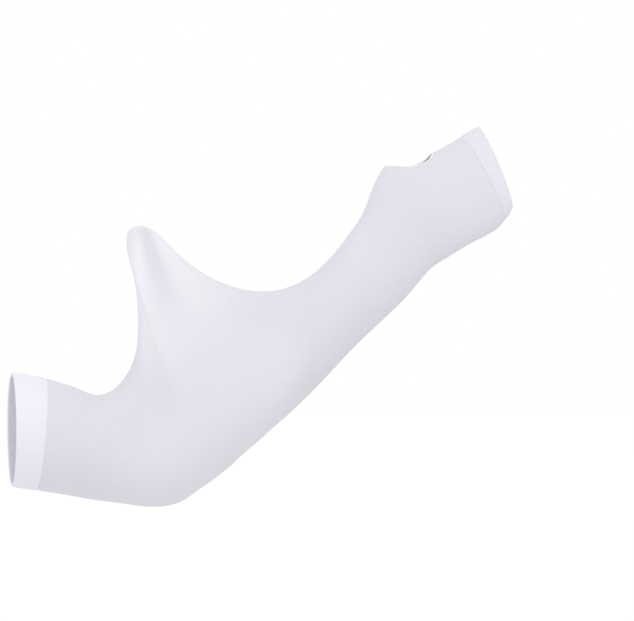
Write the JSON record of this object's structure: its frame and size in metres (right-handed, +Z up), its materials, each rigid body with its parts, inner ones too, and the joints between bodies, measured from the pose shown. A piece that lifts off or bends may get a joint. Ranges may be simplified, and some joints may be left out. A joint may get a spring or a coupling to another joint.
{
  "type": "arm sleeve",
  "caption": "Close-fitting knit arm sleeve with a thumb hole and turned bands, shaped to a bent arm, with a pinched fold pulled up at the crook.",
  "frame": {"origin": "pivot of the wearer's elbow, on the middle plane of the bent arm", "axes": "the arm bends in the XZ plane: the upper arm runs to -X, the hand end lies to +X and +Z, +Z is up; the back of the hand faces -Y"},
  "size_m": [0.3505, 0.0766, 0.2666],
  "materials": {
    "cool_white_knit": "smooth fine-rib knit, one layer",
    "double_white_knit": "smooth fine-rib knit, two layers",
    "rolled_white_knit": "narrow rolled knit edge"
  },
  "bodies": {
    "root": {"sleeve_tube": "cool_white_knit", "upper_band": "double_white_knit", "hand_band": "double_white_knit", "thumb_hole_edge": "rolled_white_knit"}
  },
  "joints": []
}
